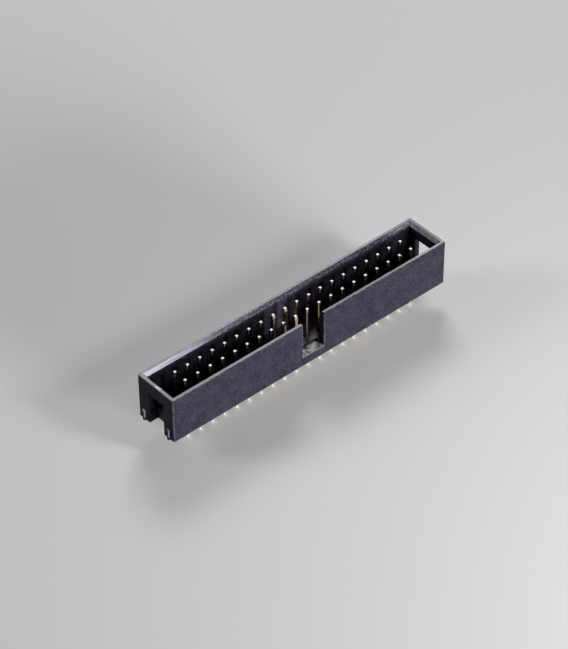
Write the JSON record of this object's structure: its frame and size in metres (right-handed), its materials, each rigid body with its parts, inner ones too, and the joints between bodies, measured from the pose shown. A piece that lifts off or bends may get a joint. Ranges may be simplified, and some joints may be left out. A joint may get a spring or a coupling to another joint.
{
  "type": "idc box header",
  "caption": "Straight through-hole box header: an open moulded box with a key slot and end windows round rows of square gold contact pins.",
  "frame": {"origin": "middle of the pin field on the board's surface, which is the plane of the box's underside", "axes": "+Z out of the mouth of the box, along the pins; +X along the rows; -Y towards the wall with the key slot. Pin 1 is at the -X end of the front row, pin 2 behind it, and the odd pins are the front row"},
  "size_m": [0.059, 0.0086, 0.0125],
  "materials": {
    "moulding": "fine satin, near-black with a violet cast",
    "contact": "bright gold flash over drawn wire"
  },
  "bodies": {
    "root": {"housing": "moulding", "contact_pin_01": "contact", "contact_pin_02": "contact", "contact_pin_03": "contact", "contact_pin_04": "contact", "contact_pin_05": "contact", "contact_pin_06": "contact", "contact_pin_07": "contact", "contact_pin_08": "contact", "contact_pin_09": "contact", "contact_pin_10": "contact", "contact_pin_11": "contact", "contact_pin_12": "contact", "contact_pin_13": "contact", "contact_pin_14": "contact", "contact_pin_15": "contact", "contact_pin_16": "contact", "contact_pin_17": "contact", "contact_pin_18": "contact", "contact_pin_19": "contact", "contact_pin_20": "contact", "contact_pin_21": "contact", "contact_pin_22": "contact", "contact_pin_23": "contact", "contact_pin_24": "contact", "contact_pin_25": "contact", "contact_pin_26": "contact", "contact_pin_27": "contact", "contact_pin_28": "contact", "contact_pin_29": "contact", "contact_pin_30": "contact", "contact_pin_31": "contact", "contact_pin_32": "contact", "contact_pin_33": "contact", "contact_pin_34": "contact", "contact_pin_35": "contact", "contact_pin_36": "contact", "contact_pin_37": "contact", "contact_pin_38": "contact", "contact_pin_39": "contact", "contact_pin_40": "contact"}
  },
  "joints": []
}
